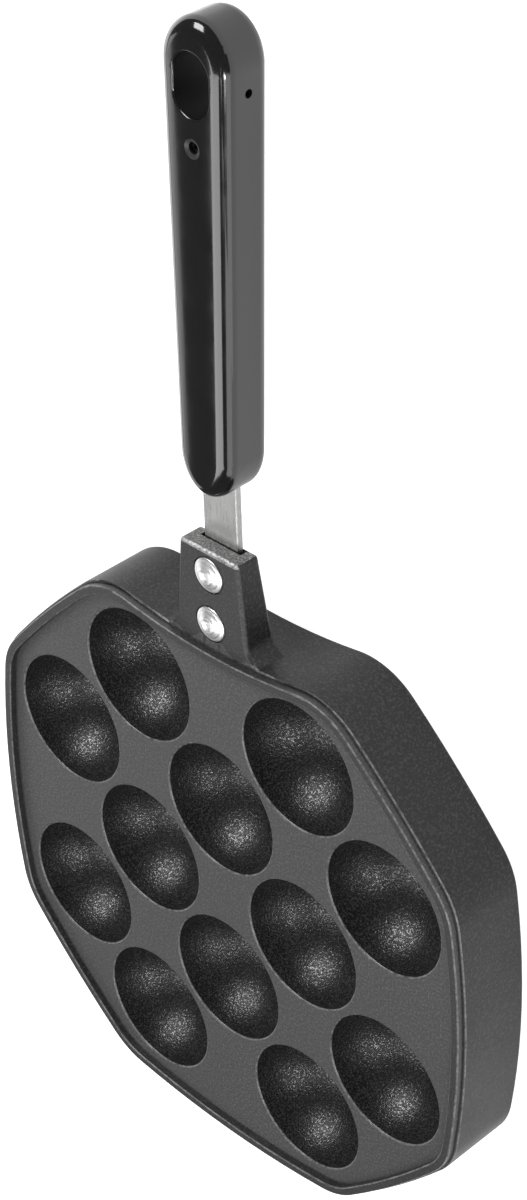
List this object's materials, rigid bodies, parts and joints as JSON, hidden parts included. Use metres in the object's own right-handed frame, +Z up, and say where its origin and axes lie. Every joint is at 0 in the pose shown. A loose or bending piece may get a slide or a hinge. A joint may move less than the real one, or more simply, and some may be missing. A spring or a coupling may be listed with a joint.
{
  "type": "takoyaki pan",
  "caption": "Cast cooking pan with round cups for batter balls in an eight sided raised lip, and a long grip with a hanging hole on a riveted steel tang.",
  "frame": {"origin": "on the surface that the pan stands on, under the middle of the cup pattern", "axes": "+Z up out of the cups, +Y along the handle, X across the pan"},
  "size_m": [0.1884, 0.3655, 0.0262],
  "materials": {
    "pan": "dark grey non-stick coating over cast aluminium, fine satin grain",
    "tang": "plain rolled steel strap",
    "rivets": "polished",
    "grip": "black phenolic moulding, glossy",
    "screw": "blackened steel"
  },
  "bodies": {
    "root": {"pan_body": "pan", "handle_tang": "tang", "upper_rivet": "rivets", "lower_rivet": "rivets", "handle_grip": "grip", "grip_screw": "screw"}
  },
  "joints": []
}
